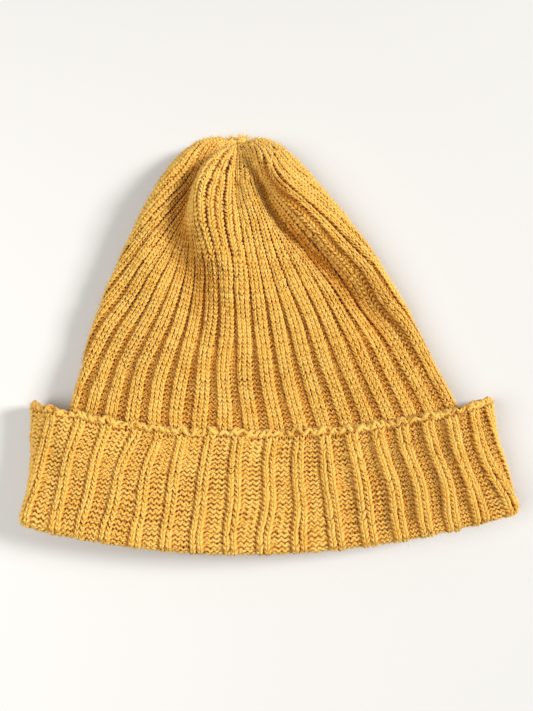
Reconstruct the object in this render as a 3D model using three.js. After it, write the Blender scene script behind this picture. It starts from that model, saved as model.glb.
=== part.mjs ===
// Ribbed beanie with a turned-up cuff, lying flat on its back.
// Millimetres. +X runs across the brim, +Y from the brim to the crown's tip, +Z up from the surface
// that the hat lies on.
// The hat is a knitted tube. Each round of stitches is a closed line, flattened into a front wall
// and a back wall, and each piece is a closed loop of such rounds.
import * as THREE from "three";

// Driving sizes
const RIBS = 36; // ribs round the head, each of three knit stitches and two purl stitches
const WALL = 2.4; // mean thickness of the knitted wall
const RELIEF = 0.6; // how far a rib stands over the wall's mean face, and a furrow under it
const LAYER_GAP = 0.3; // air between two layers that touch
const CUFF_HEIGHT = 55;
const SEAM_UP = 9; // height over the fold where the cuff's inner leg ends and the body begins
const SEAM_GAP = 0.35;
const BODY_TOP = 217; // length of the body's front from the fold to the drawn-in tip
const NEST = WALL + RELIEF + LAYER_GAP; // from the cuff's outer face in to the body's outer face
const WALL_POINTS = 360; // points on one wall of a round before they are spaced to the ribs
const NORMAL_STEP = 1.2; // a normal is taken from the rounds this far above and below
const KNOT_FOOT = 1; // how far past the tip's last round the knot of its yarn starts
const KNOT_SPREAD = 1.55; // the knot's width over its thickness

// Rounds of the body. up is the height over the fold along the middle of the front wall. Left, mid
// and right are where the round meets the left side fold, the front's middle and the right side
// fold. lift is the height of the back wall's face over the table, edge is half the thickness at
// a side fold, and puff is how much more the front rises, run away from the side fold.
const BODY_ROUNDS = table("up leftX leftY midX midY rightX rightY lift edge puff run", [
  [0, -115.8, -96, -1, -107.2, 116.2, -90.5, 3.8, 5.2, 3, 40],
  [9, -113.6, -88, -1.2, -101.2, 113.4, -83, 3.8, 5.2, 3, 40],
  [30, -106, -64, -2.2, -80.4, 103.5, -62, 3.8, 5.2, 3, 40],
  [55, -98.3, -36.5, -3.9, -55.4, 92.4, -38, 3.8, 5.3, 2.8, 40],
  [77, -94.3, -10, -6.9, -33.6, 81.6, -13, 0.5, 6.2, 5, 45],
  [100, -87.3, 15.5, -11, -10.7, 69.6, 13.2, 0.5, 6.6, 6, 45],
  [121, -79, 39, -14.7, 10.3, 57.6, 36.6, 0.5, 6.8, 7, 40],
  [142, -70.3, 61, -16.5, 32, 43.6, 57.6, 0.5, 7, 8, 36],
  [162, -60.8, 81.5, -17.3, 51.6, 29, 77.6, 0.5, 7, 8.4, 30],
  [179.5, -50.6, 97.2, -17.4, 69.2, 16.4, 93.4, 0.5, 6.8, 8, 24],
  [194.5, -40, 106.4, -17.4, 84.6, 5.6, 104.4, 0.7, 6.4, 6.4, 18],
  [206, -30.4, 109.8, -17.6, 96.2, -5.2, 109.2, 1.6, 5.4, 3.6, 12],
  [213, -25.2, 108.8, -17.8, 102.4, -10.6, 108.4, 3.2, 3.9, 1.4, 7],
  [217, -20.8, 106.6, -17.9, 105.2, -15, 106.4, 4.6, 2.2, 0.4, 4],
]);

// Rounds of the cuff's outer face, counted up from the fold to the free edge.
const CUFF_ROUNDS = table("up leftX leftY midX midY rightX rightY lift edge puff run", [
  [0, -119.4, -97.4, -1, -110.4, 119.8, -91.4, 0.5, 8.5, 3, 40],
  [18, -116.9, -78.4, -1.5, -92.4, 116, -76.4, 0.5, 8.2, 3.6, 36],
  [36, -117.6, -59.4, -2.2, -74.4, 111.4, -58, 0.5, 7.5, 5.1, 26],
  [55, -119.2, -40.4, -3.4, -55.4, 111.4, -38.4, 0.5, 6.6, 6.9, 20],
]);

// Where the body's furrows run, a row for every third furrow and a column for each height. A place
// counts sixteenths of the front wall from its middle, so a side fold is at 8, and from there the
// back wall goes on to its own middle at 16. The ribs crowd together where the crown is folded.
const BODY_FURROWS = table("rib 60 75 90 105 120 140 160 185 217", [
  [-18, -16, -16, -16, -16, -16, -16, -16, -16, -16],
  [-15, -13.4, -13.1, -12.7, -12.2, -11.6, -10.8, -9.6, -9.2, -9.8],
  [-12, -10.8, -10.3, -9.8, -9.1, -8.3, -7.4, -6.4, -5.8, -6.6],
  [-9, -8.05, -7.6, -7.2, -6.6, -6.1, -5.4, -4.7, -4.3, -4.9],
  [-6, -5.56, -5.3, -4.9, -4.5, -4.2, -3.9, -3.6, -3.4, -3.5],
  [-3, -2.93, -2.72, -2.55, -2.4, -2.35, -2.4, -2.45, -2.35, -2],
  [0, 0, 0.03, 0.03, -0.05, -0.05, 0, 0, -0.1, 0],
  [3, 2.82, 2.73, 2.56, 2.3, 2, 1.7, 1.5, 1.2, 1.6],
  [6, 5.29, 5.15, 4.94, 4.5, 4.2, 3.7, 3.1, 2.5, 3.2],
  [9, 7.9, 7.75, 7.65, 7.1, 6.85, 6.4, 5.7, 4.6, 5],
  [12, 10.6, 10.5, 10.3, 9.8, 9.3, 8.6, 7.8, 6.8, 7.4],
  [15, 13.3, 13.2, 13.1, 12.8, 12.4, 12, 11.4, 10.6, 11],
  [18, 16, 16, 16, 16, 16, 16, 16, 16, 16],
]);

// Where the cuff's narrow ribs stand, a row for each rib of the front and a column for each height.
const CUFF_RIBS = table("rib 8 28 50", [
  [-18, -16, -16, -16],
  [-9, -8.5, -8.2, -7.8],
  [-8, -7.5, -7.15, -6.75],
  [-7, -6.45, -6.25, -5.75],
  [-6, -5.6, -5.4, -4.9],
  [-5, -4.85, -4.6, -3.95],
  [-4, -4, -3.75, -3.25],
  [-3, -3.1, -2.85, -2.5],
  [-2, -2.2, -1.95, -1.6],
  [-1, -1.2, -1, -0.75],
  [0, -0.2, 0.08, 0.28],
  [1, 0.83, 1.06, 1.13],
  [2, 1.95, 2, 1.93],
  [3, 2.9, 2.94, 2.78],
  [4, 3.8, 3.85, 3.65],
  [5, 4.6, 4.65, 4.38],
  [6, 5.45, 5.5, 5.2],
  [7, 6.25, 6.2, 5.98],
  [8, 7.3, 7.05, 6.8],
  [9, 8.3, 7.9, 7.5],
  [18, 16, 16, 16],
]);

// Creases and ridges of the crown, each from the tip down. x and y are places on the table, rise
// is how far the front wall stands up there, or sinks where it is negative, and west and east are
// how far the slope runs to either side.
const FOLDS = {
  leftValley: table("x y rise west east", [
    [-24, 101, -1.2, 3.5, 2.6],
    [-29.5, 96, -3.6, 4.5, 2.8],
    [-34.5, 91, -5.6, 5.5, 3],
    [-38.8, 84.5, -7, 6.5, 3.2],
    [-42, 76, -8.2, 7.5, 3.4],
    [-43.6, 68, -8.2, 8.5, 3.6],
    [-45, 60, -7, 9.5, 5],
    [-47, 51, -5.4, 10.5, 9],
    [-47.5, 40, -4, 11.5, 12],
    [-45, 26, -2.6, 12, 14],
    [-41, 9, -1.2, 13, 14],
    [-38, -8, 0, 13, 14],
  ]),
  middleRidge: table("x y rise west east", [
    [-22, 99, 1.4, 3, 3],
    [-28, 90.5, 3.2, 3.4, 6],
    [-33.4, 82, 4.6, 3.6, 9],
    [-36.4, 73, 5.2, 3.8, 12],
    [-37, 63, 5, 4.4, 14],
    [-35, 51, 4, 6.5, 15],
    [-28.5, 36, 2.6, 9, 14],
    [-18, 21, 1.2, 11, 13],
    [-8, 6, 0, 12, 13],
  ]),
  middleCrease: table("x y rise west east", [
    [-18.4, 99, -1.4, 2.2, 3],
    [-18.4, 88, -3.2, 2.6, 4],
    [-18.4, 76, -3.8, 2.8, 5],
    [-18, 65, -3.2, 3.2, 5],
    [-15.6, 54, -1.8, 4, 5],
    [-11.5, 43, 0, 5, 5],
  ]),
  rightValley: table("x y rise west east", [
    [-13.6, 98, -1.6, 3, 2.6],
    [-8.6, 87, -4.8, 4, 2.8],
    [-3.4, 76, -7, 5, 3.2],
    [2, 65.5, -8.4, 6.5, 4],
    [8.6, 56, -8.4, 8, 5],
    [17.4, 46, -7.2, 9.5, 6],
    [29.5, 34, -5.6, 10.5, 7],
    [42.5, 20.5, -4.2, 11, 8],
    [54.5, 7, -3.2, 10, 8],
    [65, -8.5, -1.8, 9, 8],
    [72, -24, 0, 9, 8],
  ]),
  rightRidge: table("x y rise west east", [
    [-8.6, 98, 1.4, 3, 4],
    [-2.4, 84, 3.2, 3.2, 8],
    [4, 74, 4.4, 3.6, 11],
    [12, 64, 4.8, 4.6, 13],
    [22, 53.6, 4.4, 5.6, 13],
    [34, 42, 3.8, 6.4, 11],
    [47, 28.5, 3, 7, 9],
    [60, 12, 2, 7, 8],
    [71, -8, 1.2, 7, 7],
    [80, -28, 0, 7, 7],
  ]),
  leftRidge: table("x y rise west east", [
    [-30, 103, 0.6, 4, 4],
    [-42, 94, 2, 5, 5],
    [-52, 79.5, 3, 6, 5.5],
    [-59, 62, 2.8, 7, 6.5],
    [-65, 42, 1.6, 8, 8],
    [-70, 20, 0, 8, 8],
  ]),
};

// The columns of one body rib, from its furrow on, and which way each stands: 1 up, -1 down.
const BODY_PROFILE = [
  { at: 0, side: -1 },
  { at: 0.25, side: 1 },
  { at: 0.75, side: 1 },
];

// The same for the cuff, which shows the reverse of the knitting, so that its ribs are narrow.
const CUFF_PROFILE = [
  { at: -0.16, side: 1 },
  { at: 0.16, side: 1 },
  { at: 0.32, side: -1 },
  { at: 0.68, side: -1 },
];

// A table as one list of numbers for each named column.
function table(names, rows) {
  return Object.fromEntries(names.split(" ").map((name, i) => [name, rows.map((row) => row[i])]));
}

// The smooth curve through the points (xs, ys), read at x. Beyond its ends it keeps their values.
function curve(xs, ys, x) {
  const last = xs.length - 1;
  let k = 0;
  while (k < last - 1 && x > xs[k + 1]) k += 1;
  const slope = (i) => {
    const [a, b] = [Math.max(i - 1, 0), Math.min(i + 1, last)];
    return (ys[b] - ys[a]) / (xs[b] - xs[a]);
  };
  const span = xs[k + 1] - xs[k];
  const t = THREE.MathUtils.clamp((x - xs[k]) / span, 0, 1);
  const [t2, t3] = [t * t, t * t * t];
  return (
    (2 * t3 - 3 * t2 + 1) * ys[k] +
    (t3 - 2 * t2 + t) * span * slope(k) +
    (3 * t2 - 2 * t3) * ys[k + 1] +
    (t3 - t2) * span * slope(k + 1)
  );
}

// The place of a rib, whole or part, at a height: first along each row's heights, then along ribs.
function ribPlace(lines, up) {
  const heights = Object.keys(lines).filter((name) => name !== "rib").map(Number);
  const places = lines.rib.map((_, row) => curve(heights, heights.map((h) => lines[h][row]), up));
  return (rib) => curve(lines.rib, places, rib);
}

// How far one fold lifts the front wall over a place on the table: a bell across the fold's line.
function foldRise(fold, x, y) {
  let nearest = Infinity;
  let rise = 0;
  for (let i = 0; i + 1 < fold.x.length; i += 1) {
    const [dx, dy] = [fold.x[i + 1] - fold.x[i], fold.y[i + 1] - fold.y[i]];
    const along = ((x - fold.x[i]) * dx + (y - fold.y[i]) * dy) / (dx * dx + dy * dy);
    const t = THREE.MathUtils.clamp(along, 0, 1);
    const [gapX, gapY] = [x - fold.x[i] - t * dx, y - fold.y[i] - t * dy];
    const gap = Math.hypot(gapX, gapY);
    if (gap >= nearest) continue;
    nearest = gap;
    const slope = dx * gapY - dy * gapX > 0 ? fold.east : fold.west;
    const width = THREE.MathUtils.lerp(slope[i], slope[i + 1], t);
    rise = THREE.MathUtils.lerp(fold.rise[i], fold.rise[i + 1], t) * Math.exp(-((gap / width) ** 2));
  }
  return rise;
}

const ease = (t) => t * t * (3 - 2 * t);

// One round as a fine closed line of points: over the front wall from the left side fold to the
// right one, then back along the back wall. Both follow one arc, through left, mid and right.
function fineRound(rounds, up) {
  const at = (name) => curve(rounds.up, rounds[name], up);
  const left = new THREE.Vector2(at("leftX"), at("leftY"));
  const right = new THREE.Vector2(at("rightX"), at("rightY"));
  const centre = left.clone().add(right).multiplyScalar(0.5);
  const across = right.clone().sub(left).multiplyScalar(0.5);
  const bow = new THREE.Vector2(at("midX"), at("midY")).sub(centre);
  const halfAngle = 2 * Math.atan(bow.length() / across.length());
  const halfLength = (across.length() / Math.sin(halfAngle)) * halfAngle;
  const [lift, edge, puff, run] = ["lift", "edge", "puff", "run"].map(at);
  const points = [];
  for (let i = 0; i < 2 * WALL_POINTS; i += 1) {
    const q = -Math.cos((Math.PI * i) / WALL_POINTS);
    const sine = Math.sin(q * halfAngle) / Math.sin(halfAngle);
    const sag = (Math.cos(q * halfAngle) - Math.cos(halfAngle)) / (1 - Math.cos(halfAngle));
    const x = centre.x + across.x * sine + bow.x * sag;
    const y = centre.y + across.y * sine + bow.y * sag;
    const inland = halfLength * (1 - Math.abs(q));
    const quarter = edge * Math.sqrt(1 - (1 - Math.min(inland / edge, 1)) ** 2);
    let z = lift + edge - quarter;
    if (i <= WALL_POINTS) {
      z = lift + edge + quarter + puff * ease(Math.min(inland / run, 1));
      if (rounds === BODY_ROUNDS)
        for (const fold of Object.values(FOLDS)) z += ease(Math.min(inland / edge, 1)) * foldRise(fold, x, y);
    }
    points.push(new THREE.Vector3(x, y, z));
  }
  return points;
}

// The points of one round at the given ribs, measured along the round.
function spacedRound(rounds, lines, up, ribs) {
  const fine = fineRound(rounds, up);
  const length = [0];
  fine.forEach((p, i) => length.push(length[i] + p.distanceTo(fine[(i + 1) % fine.length])));
  const total = length[fine.length];
  const front = length[WALL_POINTS];
  const placeOf = ribPlace(lines, up);
  return ribs.map((rib) => {
    const place = placeOf(rib);
    let s = ((place + 8) / 16) * front;
    if (place > 8) s = front + ((place - 8) / 16) * (total - front);
    if (place < -8) s = total + ((place + 8) / 16) * (total - front);
    let [low, high] = [0, fine.length];
    while (high - low > 1) {
      const middle = (low + high) >> 1;
      if (length[middle] <= s) low = middle;
      else high = middle;
    }
    const part = (s - length[low]) / (length[low + 1] - length[low]);
    return fine[low].clone().lerp(fine[(low + 1) % fine.length], part);
  });
}

// One ring of a piece: the round at a height, moved along its inward normals by depth. The relief
// of the ribs is added times ribbing. Nothing reaches below the table.
function ring(rounds, lines, profile, up, depth, ribbing) {
  const columns = [];
  for (let rib = -RIBS / 2; rib < RIBS / 2; rib += 1)
    for (const { at, side } of profile) columns.push({ rib: rib + at, side });
  for (const column of columns) if (column.rib < -RIBS / 2) column.rib += RIBS;
  const ribs = columns.map((column) => column.rib);
  const points = spacedRound(rounds, lines, up, ribs);
  const above = spacedRound(rounds, lines, up + NORMAL_STEP, ribs);
  const below = spacedRound(rounds, lines, Math.max(up - NORMAL_STEP, 0), ribs);
  return points.map((p, i) => {
    const before = points[(i + columns.length - 1) % columns.length];
    const after = points[(i + 1) % columns.length];
    const outward = after.clone().sub(before).cross(above[i].clone().sub(below[i])).normalize();
    const moved = p.clone().addScaledVector(outward, ribbing * RELIEF * columns[i].side - depth);
    moved.z = Math.max(moved.z, 0);
    return moved;
  });
}

// A closed loop of rings as one geometry: each is joined to the next, and the last to the first.
function loopGeometry(rings) {
  const columns = rings[0].length;
  const positions = rings.flat().flatMap((p) => [p.x, p.y, p.z]);
  const faces = [];
  rings.forEach((_, i) => {
    const [here, next] = [i * columns, ((i + 1) % rings.length) * columns];
    for (let j = 0; j < columns; j += 1) {
      const k = (j + 1) % columns;
      faces.push(here + j, here + k, next + k, here + j, next + k, next + j);
    }
  });
  const geometry = new THREE.BufferGeometry();
  geometry.setAttribute("position", new THREE.Float32BufferAttribute(positions, 3));
  geometry.setIndex(faces);
  geometry.computeVertexNormals();
  return geometry;
}

// The body: ribbed on the outside from the seam up to the tip, then smooth back down inside.
function bodyGeometry() {
  const start = SEAM_UP + SEAM_GAP;
  const outside = [24, 40, 52, 61, 72, 86, 100, 114, 128, 141, 153, 163, 172, 180.5, 188, 195, 201, 206.5, 212];
  const inside = [207, 196, 180.5, 163, 141, 114, 86, 52];
  const body = (up, depth, ribbing) => ring(BODY_ROUNDS, BODY_FURROWS, BODY_PROFILE, up, depth, ribbing);
  return loopGeometry([
    ...[start, ...outside, BODY_TOP].map((up) => body(up, 0, 1)),
    ...[...inside, start].map((up) => body(up, WALL, 0)),
  ]);
}

// The cuff: up the outer face, over the free edge, down its inner face to the fold, then the short
// inner leg, whose end meets the body, and round the fold back to the outer face.
function cuffGeometry() {
  const radius = (NEST + WALL) / 2;
  const lip = CUFF_HEIGHT - 0.8;
  const cuff = (up, depth, ribbing) => ring(CUFF_ROUNDS, CUFF_RIBS, CUFF_PROFILE, up, depth, ribbing);
  const turns = [0, 45, 90, 135].map(THREE.MathUtils.degToRad);
  return loopGeometry([
    ...[radius, 13, 24, 34, 44, lip].map((up) => cuff(up, 0, 1)),
    cuff(CUFF_HEIGHT, WALL / 2, 0.5),
    ...[lip, 34, radius].map((up) => cuff(up, WALL, 0)),
    cuff(radius, NEST, 0),
    cuff(SEAM_UP, NEST, 0),
    cuff(SEAM_UP, NEST + WALL, 0),
    ...turns.map((turn) =>
      cuff(radius * (1 - Math.sin(turn)), radius * (1 + Math.cos(turn)), 0.5 - 0.5 * Math.cos(turn)),
    ),
  ]);
}

// The yarn that is drawn through the last stitches: a stem in the tip's hole, and a knot over it
// that is tufted and lies flat between the crown's two lobes.
function tieGeometry() {
  const profile = [
    [0, -3],
    [0.9, -2.6],
    [1, 0.6],
    [1.8, 1.6],
    [3, 2.5],
    [4, 3.5],
    [3.4, 4.6],
    [0, 5.3],
  ];
  const geometry = new THREE.LatheGeometry(profile.map(([radius, y]) => new THREE.Vector2(radius, y)), 12);
  const points = geometry.getAttribute("position");
  for (let i = 0; i < points.count; i += 1) {
    points.setX(i, points.getX(i) * (points.getY(i) > KNOT_FOOT ? KNOT_SPREAD : 1));
  }
  geometry.computeVertexNormals();
  return geometry;
}

function yarn(colour) {
  return new THREE.MeshStandardMaterial({ color: colour, roughness: 0.9, metalness: 0 });
}

function piece(name, geometry, material) {
  const mesh = new THREE.Mesh(geometry, material);
  mesh.name = name;
  return mesh;
}

const beanie = new THREE.Group();
beanie.add(piece("crown", bodyGeometry(), yarn(0xdfa23a)));
beanie.add(piece("cuff", cuffGeometry(), yarn(0xe2a941)));
const tie = piece("crown_tie", tieGeometry(), yarn(0xe6b552));
tie.position.set(-17.9, 106.2, 6.9);
beanie.add(tie);

export default beanie;
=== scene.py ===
# %% [markdown]
# # A ribbed beanie with a turned-up cuff
#
# The hat lies flat on a table. It is knitted, so it is built the way knitting is: a smooth wall
# shape first, then rounds of yarn that run over that wall and bend into a loop at each stitch.
# Lengths in the tables are millimetres. +X runs across the brim, +Y from the brim to the crown's
# tip and +Z up from the table.

import math

import bpy
import numpy as np
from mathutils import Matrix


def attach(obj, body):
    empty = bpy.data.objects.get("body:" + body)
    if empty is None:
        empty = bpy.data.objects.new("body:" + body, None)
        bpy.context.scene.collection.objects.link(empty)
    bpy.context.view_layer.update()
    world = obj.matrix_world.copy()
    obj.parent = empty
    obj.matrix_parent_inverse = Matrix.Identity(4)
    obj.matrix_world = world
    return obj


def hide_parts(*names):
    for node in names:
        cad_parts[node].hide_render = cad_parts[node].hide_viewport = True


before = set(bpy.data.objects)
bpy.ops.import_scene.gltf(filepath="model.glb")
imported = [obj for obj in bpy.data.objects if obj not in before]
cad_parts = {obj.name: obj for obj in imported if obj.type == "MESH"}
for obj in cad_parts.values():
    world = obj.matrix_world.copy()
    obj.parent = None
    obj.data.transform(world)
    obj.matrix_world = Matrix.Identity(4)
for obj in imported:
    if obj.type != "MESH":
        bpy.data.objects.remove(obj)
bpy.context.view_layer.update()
print("CAD nodes:", sorted(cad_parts))

MM = 0.001
rng = np.random.default_rng(7)

# %% [markdown]
# ## The camera
#
# The photograph was taken from close above the brim, looking down at 77 degrees, with a lens
# that sees about as wide as 28 mm does on a full frame.

# %% Camera
CAMERA_AT = (-1.73, -77.34, 286.4)
CAMERA_DOWN = 77.405

camera = bpy.data.objects.new("camera", bpy.data.cameras.new("camera"))
bpy.context.scene.collection.objects.link(camera)
bpy.context.scene.camera = camera
camera.location = [c * MM for c in CAMERA_AT]
camera.rotation_euler = (math.radians(90 - CAMERA_DOWN), 0, 0)
camera.data.sensor_width = 36
camera.data.lens = 28
camera.data.clip_start = 0.01
print("camera looks down by", CAMERA_DOWN, "degrees")

# %% [markdown]
# ## The measured tables
#
# A round is one turn of knitting, a closed line round the head. Each row below gives a round's
# height over the brim's fold along the middle of the front, and where it meets the left side
# fold, the front's middle and the right side fold.


# %% Tables of the rounds
def table(names, rows):
    """One array for each named column."""
    return {name: np.array(column, float) for name, column in zip(names.split(), zip(*rows))}


RIBS = 36
WALL = 2.4
LAYER = 3.3
CUFF_HEIGHT = 55.0
BODY_TOP = 217.0
SEAM_UP = 9.0

ROUND_COLUMNS = "up leftX leftY midX midY rightX rightY lift edge puff run"
BODY_ROUNDS = table(ROUND_COLUMNS, [
    [0, -115.8, -96, -1, -107.2, 116.2, -90.5, 3.8, 5.2, 3, 40],
    [9, -113.6, -88, -1.2, -101.2, 113.4, -83, 3.8, 5.2, 3, 40],
    [30, -106, -64, -2.2, -80.4, 103.5, -62, 3.8, 5.2, 3, 40],
    [55, -98.3, -36.5, -3.9, -55.4, 92.4, -38, 3.8, 5.3, 2.8, 40],
    [77, -94.3, -10, -6.9, -33.6, 81.6, -13, 0.5, 6.2, 5, 45],
    [100, -87.3, 15.5, -11, -10.7, 69.6, 13.2, 0.5, 6.6, 6, 45],
    [121, -79, 39, -14.7, 10.3, 57.6, 36.6, 0.5, 6.8, 7, 40],
    [142, -70.3, 61, -16.5, 32, 43.6, 57.6, 0.5, 7, 8, 36],
    [162, -60.8, 81.5, -17.3, 51.6, 29, 77.6, 0.5, 7, 8.4, 30],
    [179.5, -50.6, 97.2, -17.4, 69.2, 16.4, 93.4, 0.5, 6.8, 8, 24],
    [194.5, -40, 106.4, -17.4, 84.6, 5.6, 104.4, 0.7, 6.4, 6.4, 18],
    [206, -30.4, 109.8, -17.6, 96.2, -5.2, 109.2, 1.6, 5.4, 3.6, 12],
    [213, -25.2, 108.8, -17.8, 102.4, -10.6, 108.4, 3.2, 3.9, 1.4, 7],
    [217, -20.8, 106.6, -17.9, 105.2, -15, 106.4, 4.6, 2.2, 0.4, 4],
])
CUFF_ROUNDS = table(ROUND_COLUMNS, [
    [0, -119.4, -97.4, -1, -110.4, 119.8, -91.4, 0.5, 8.5, 3, 40],
    [18, -116.9, -78.4, -1.5, -92.4, 116, -76.4, 0.5, 8.2, 3.6, 36],
    [36, -117.6, -59.4, -2.2, -74.4, 111.4, -58, 0.5, 7.5, 5.1, 26],
    [55, -119.2, -40.4, -3.4, -55.4, 111.4, -38.4, 0.5, 6.6, 6.9, 20],
])
print(len(BODY_ROUNDS["up"]), "body rounds,", len(CUFF_ROUNDS["up"]), "cuff rounds")

# %% [markdown]
# The ribs don't run straight. These rows say where some of them cross each height. A place counts
# sixteenths of the front wall from its middle: 8 is a side fold, 16 the middle of the back.

# %% Tables of the ribs
BODY_FURROWS = table("rib 60 75 90 105 120 140 160 185 217", [
    [-18, -16, -16, -16, -16, -16, -16, -16, -16, -16],
    [-15, -13.4, -13.1, -12.7, -12.2, -11.6, -10.8, -9.6, -9.2, -9.8],
    [-12, -10.8, -10.3, -9.8, -9.1, -8.3, -7.4, -6.4, -5.8, -6.6],
    [-9, -8.05, -7.6, -7.2, -6.6, -6.1, -5.4, -4.7, -4.3, -4.9],
    [-6, -5.56, -5.3, -4.9, -4.5, -4.2, -3.9, -3.6, -3.4, -3.5],
    [-3, -2.93, -2.72, -2.55, -2.4, -2.35, -2.4, -2.85, -2.9, -2.2],
    [0, 0, 0.03, 0.03, -0.05, -0.05, 0, 0, -0.1, 0],
    [3, 2.82, 2.73, 2.56, 2.3, 2, 1.7, 1.5, 1.2, 1.6],
    [6, 5.29, 5.15, 4.94, 4.5, 4.2, 3.7, 3.1, 2.5, 3.2],
    [9, 7.9, 7.75, 7.65, 7.1, 6.85, 6.2, 5.4, 4.3, 5],
    [12, 10.6, 10.5, 10.3, 9.8, 9.3, 8.6, 7.8, 6.8, 7.4],
    [15, 13.3, 13.2, 13.1, 12.8, 12.4, 12, 11.4, 10.6, 11],
    [18, 16, 16, 16, 16, 16, 16, 16, 16, 16],
])
CUFF_RIBS = table("rib 8 28 50", [
    [-18, -16, -16, -16], [-9, -8.5, -8.2, -7.8], [-8, -7.5, -7.15, -6.75], [-7, -6.45, -6.25, -5.75],
    [-6, -5.6, -5.4, -4.9], [-5, -4.85, -4.6, -3.95], [-4, -4, -3.75, -3.25], [-3, -3.1, -2.85, -2.5],
    [-2, -2.2, -1.95, -1.6], [-1, -1.2, -1, -0.75], [0, -0.2, 0.08, 0.28], [1, 0.83, 1.06, 1.13],
    [2, 1.95, 2, 1.93], [3, 2.9, 2.94, 2.78], [4, 3.8, 3.85, 3.65], [5, 4.6, 4.65, 4.38],
    [6, 5.45, 5.5, 5.2], [7, 6.25, 6.2, 5.98], [8, 7.3, 7.05, 6.8], [9, 8.3, 7.9, 7.5],
    [18, 16, 16, 16],
])
print(len(BODY_FURROWS["rib"]), "furrow rows,", len(CUFF_RIBS["rib"]), "cuff rib rows")

# %% [markdown]
# The crown is crumpled. Each fold is a line on the table, from the tip down, with how far the
# front wall rises there, or sinks where it is negative, and how wide its west and east slopes are.


# %% Tables of the folds
def fold_lines(lines):
    """A table for each named line."""
    return {name: table("x y rise west east", lines[name]) for name in lines}


FOLDS = fold_lines({
    "left valley": [
        [-24, 101, -1.2, 3.5, 2.6], [-29.5, 96, -3.6, 4.5, 2.8], [-34.5, 91, -5.6, 5.5, 3],
        [-38.8, 84.5, -7, 6.5, 3.2], [-42, 76, -8.2, 7.5, 3.4], [-43.6, 68, -8.2, 8.5, 3.6],
        [-46, 60, -7.4, 9.5, 6], [-49, 51, -6.4, 10.5, 10], [-49, 40, -5.4, 11.5, 14],
        [-45, 26, -4, 12, 15], [-40, 9, -2.4, 13, 14], [-37, -8, 0, 13, 14],
    ],
    "middle ridge": [
        [-22, 99, 1.4, 3, 3], [-28, 90.5, 3.2, 3.4, 6], [-33.4, 82, 4.6, 3.6, 9],
        [-36.4, 73, 5.2, 3.8, 12], [-37, 63, 5, 4.4, 14], [-34.5, 51, 4.8, 7, 15],
        [-27, 36, 4, 9.5, 14], [-17, 21, 2.8, 11, 13], [-8, 6, 1, 12, 13],
        [-2, -6, 0, 12, 13],
    ],
    "middle crease": [
        [-18.4, 99, -1.4, 2.2, 3], [-18.4, 88, -3.2, 2.6, 4], [-18.4, 76, -3.8, 2.8, 5],
        [-18, 65, -3.2, 3.2, 5], [-15.6, 54, -1.8, 4, 5], [-11.5, 43, 0, 5, 5],
    ],
    "right valley": [
        [-13.6, 98, -1.6, 3, 2.6], [-8.6, 87, -4.8, 4, 2.8], [-3.4, 76, -7, 5, 3.2],
        [1, 65, -9, 6, 4], [6.4, 55, -9.4, 7, 5], [14.4, 44.8, -8.6, 8, 6.5],
        [26.4, 32.8, -8.2, 9, 8], [40, 19.6, -7, 10, 8.5], [52.8, 6.6, -5.4, 10, 8],
        [65, -8.5, -3, 9, 8], [72, -24, 0, 9, 8],
    ],
    "right ridge": [
        [-8.6, 98, 1.4, 3, 4], [-2.4, 84, 3.2, 3.2, 8], [4, 74, 4.4, 3.6, 11],
        [12, 64, 4.8, 4.6, 13], [22, 53.6, 4.4, 5.6, 13], [34, 42, 4.4, 6.4, 11],
        [47, 28.5, 4, 7, 9], [60, 12, 3, 7, 8], [71, -8, 1.8, 7, 7],
        [80, -28, 0, 7, 7],
    ],
    "left ridge": [
        [-30, 103, 0.6, 4, 4], [-42, 94, 2, 5, 5], [-52, 79.5, 3, 6, 5.5],
        [-59, 62, 2.8, 7, 6.5], [-65, 42, 1.6, 8, 8], [-70, 20, 0, 8, 8],
    ],
})
print("folds:", ", ".join(FOLDS))

# %% [markdown]
# ## The wall as a surface
#
# Every point of the knitted wall has two numbers: its height up the hat and its rib. The functions
# here turn a whole grid of such pairs into points in space.


# %% Curves and folds
def curve(xs, ys, x):
    """The smooth curve through (xs, ys), read at x.

    Each span is a cubic. Its slope at a point is that of the line between the point's neighbours.
    ys may have more axes after the first, and they are kept."""
    x = np.clip(x, xs[0], xs[-1])
    k = np.clip(np.searchsorted(xs, x, side="right") - 1, 0, len(xs) - 2)
    index = np.arange(len(xs))
    before, after = np.maximum(index - 1, 0), np.minimum(index + 1, len(xs) - 1)
    wide = (slice(None),) + (None,) * (ys.ndim - 1)
    slope = (ys[after] - ys[before]) / (xs[after] - xs[before])[wide]
    span = (xs[k + 1] - xs[k])[wide]
    t = (x - xs[k])[wide] / span
    start = (2 * t**3 - 3 * t**2 + 1) * ys[k] + (t**3 - 2 * t**2 + t) * span * slope[k]
    end = (3 * t**2 - 2 * t**3) * ys[k + 1] + (t**3 - t**2) * span * slope[k + 1]
    return start + end


def ease(t):
    """0 below 0, 1 above 1, and a smooth step between."""
    t = np.clip(t, 0, 1)
    return t * t * (3 - 2 * t)


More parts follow.
